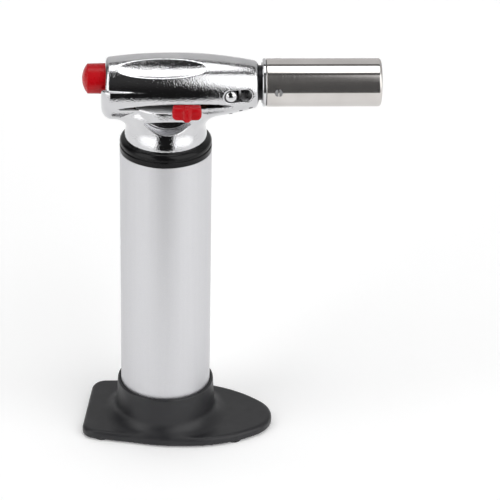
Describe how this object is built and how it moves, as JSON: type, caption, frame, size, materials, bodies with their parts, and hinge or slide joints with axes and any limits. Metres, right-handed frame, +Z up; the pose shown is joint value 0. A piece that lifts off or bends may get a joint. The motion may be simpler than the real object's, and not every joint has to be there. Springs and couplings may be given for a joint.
{
  "type": "butane torch",
  "caption": "Bench butane torch: aluminium tank as the grip, chrome head with a level flame tube, push-button ignition, gas slide, air slide and a pull-off stand.",
  "frame": {"origin": "on the tank's axis at the level the feet stand on, at the mouth of the round access hole in the stand", "axes": "+Z up the tank, +X along the flame tube towards the flame, -Y the side with the gas lever"},
  "size_m": [0.1559, 0.0634, 0.2179],
  "materials": {
    "stand_plastic": "satin black moulded",
    "foot_rubber": "matt black",
    "tank_aluminium": "satin anodised",
    "black_trim": "semi-gloss black",
    "chrome_cast": "fine-grained plated casting",
    "chrome_trim": "bright plated",
    "red_plastic": "gloss red",
    "stainless": "polished stainless",
    "steel": "bright",
    "dark_steel": "blackened",
    "brass": "turned",
    "copper": "drawn copper",
    "seal_rubber": "matt black",
    "ceramic": "glazed white ceramic",
    "igniter_plastic": "moulded",
    "wick_felt": "felt",
    "lead_jacket": "silicone"
  },
  "bodies": {
    "stand": {"base_plate": "stand_plastic", "base_collar": "stand_plastic", "base_feet": "foot_rubber"},
    "torch": {"tank_tube": "tank_aluminium", "tank_bottom_cap": "steel", "bottom_seal": "seal_rubber", "refill_valve_body": "brass", "refill_valve_spring": "steel", "refill_valve_seal": "seal_rubber", "tank_top_cap": "steel", "top_seal": "seal_rubber", "top_ring": "black_trim", "pickup_wick": "wick_felt", "gas_valve_body": "brass", "valve_nut": "brass", "gas_pipe": "copper", "gas_jet": "brass", "mixing_tube": "steel", "head_housing": "chrome_cast", "button_bezel": "chrome_trim", "burner_mount": "dark_steel", "tube_rear_ring": "chrome_trim", "flame_tube": "stainless", "tube_screws": "steel", "burner_head": "brass", "electrode_insulator": "ceramic", "spark_electrode": "steel", "spark_lead": "lead_jacket", "piezo_body": "igniter_plastic", "piezo_spring": "steel"},
    "button": {"ignition_button": "red_plastic", "piezo_plunger": "igniter_plastic"},
    "lever": {"gas_lever": "red_plastic", "drive_pin": "steel", "valve_spool": "steel", "spool_seals": "seal_rubber"},
    "air_slide": {"air_sleeve": "dark_steel", "air_knob": "chrome_trim"},
    "refill_stem": {"refill_valve_stem": "brass"}
  },
  "joints": [
    {"name": "stand_pull", "type": "slide", "parent": "stand", "child": "torch", "axis": [0, 0, 1], "range_m": [0, 0.022]},
    {"name": "button_push", "type": "slide", "parent": "torch", "child": "button", "axis": [1, 0, 0], "range_m": [0, 0.005], "stiffness_N_per_m": 1200, "springref_m": -0.004, "deforming": ["piezo_spring"]},
    {"name": "gas_slide", "type": "slide", "parent": "torch", "child": "lever", "axis": [1, 0, 0], "range_m": [-0.016, 0]},
    {"name": "air_adjust", "type": "slide", "parent": "torch", "child": "air_slide", "axis": [1, 0, 0], "range_m": [0, 0.0044]},
    {"name": "refill_press", "type": "slide", "parent": "torch", "child": "refill_stem", "axis": [0, 0, 1], "range_m": [0, 0.0018], "stiffness_N_per_m": 800, "springref_m": -0.002, "deforming": ["refill_valve_spring"]}
  ]
}
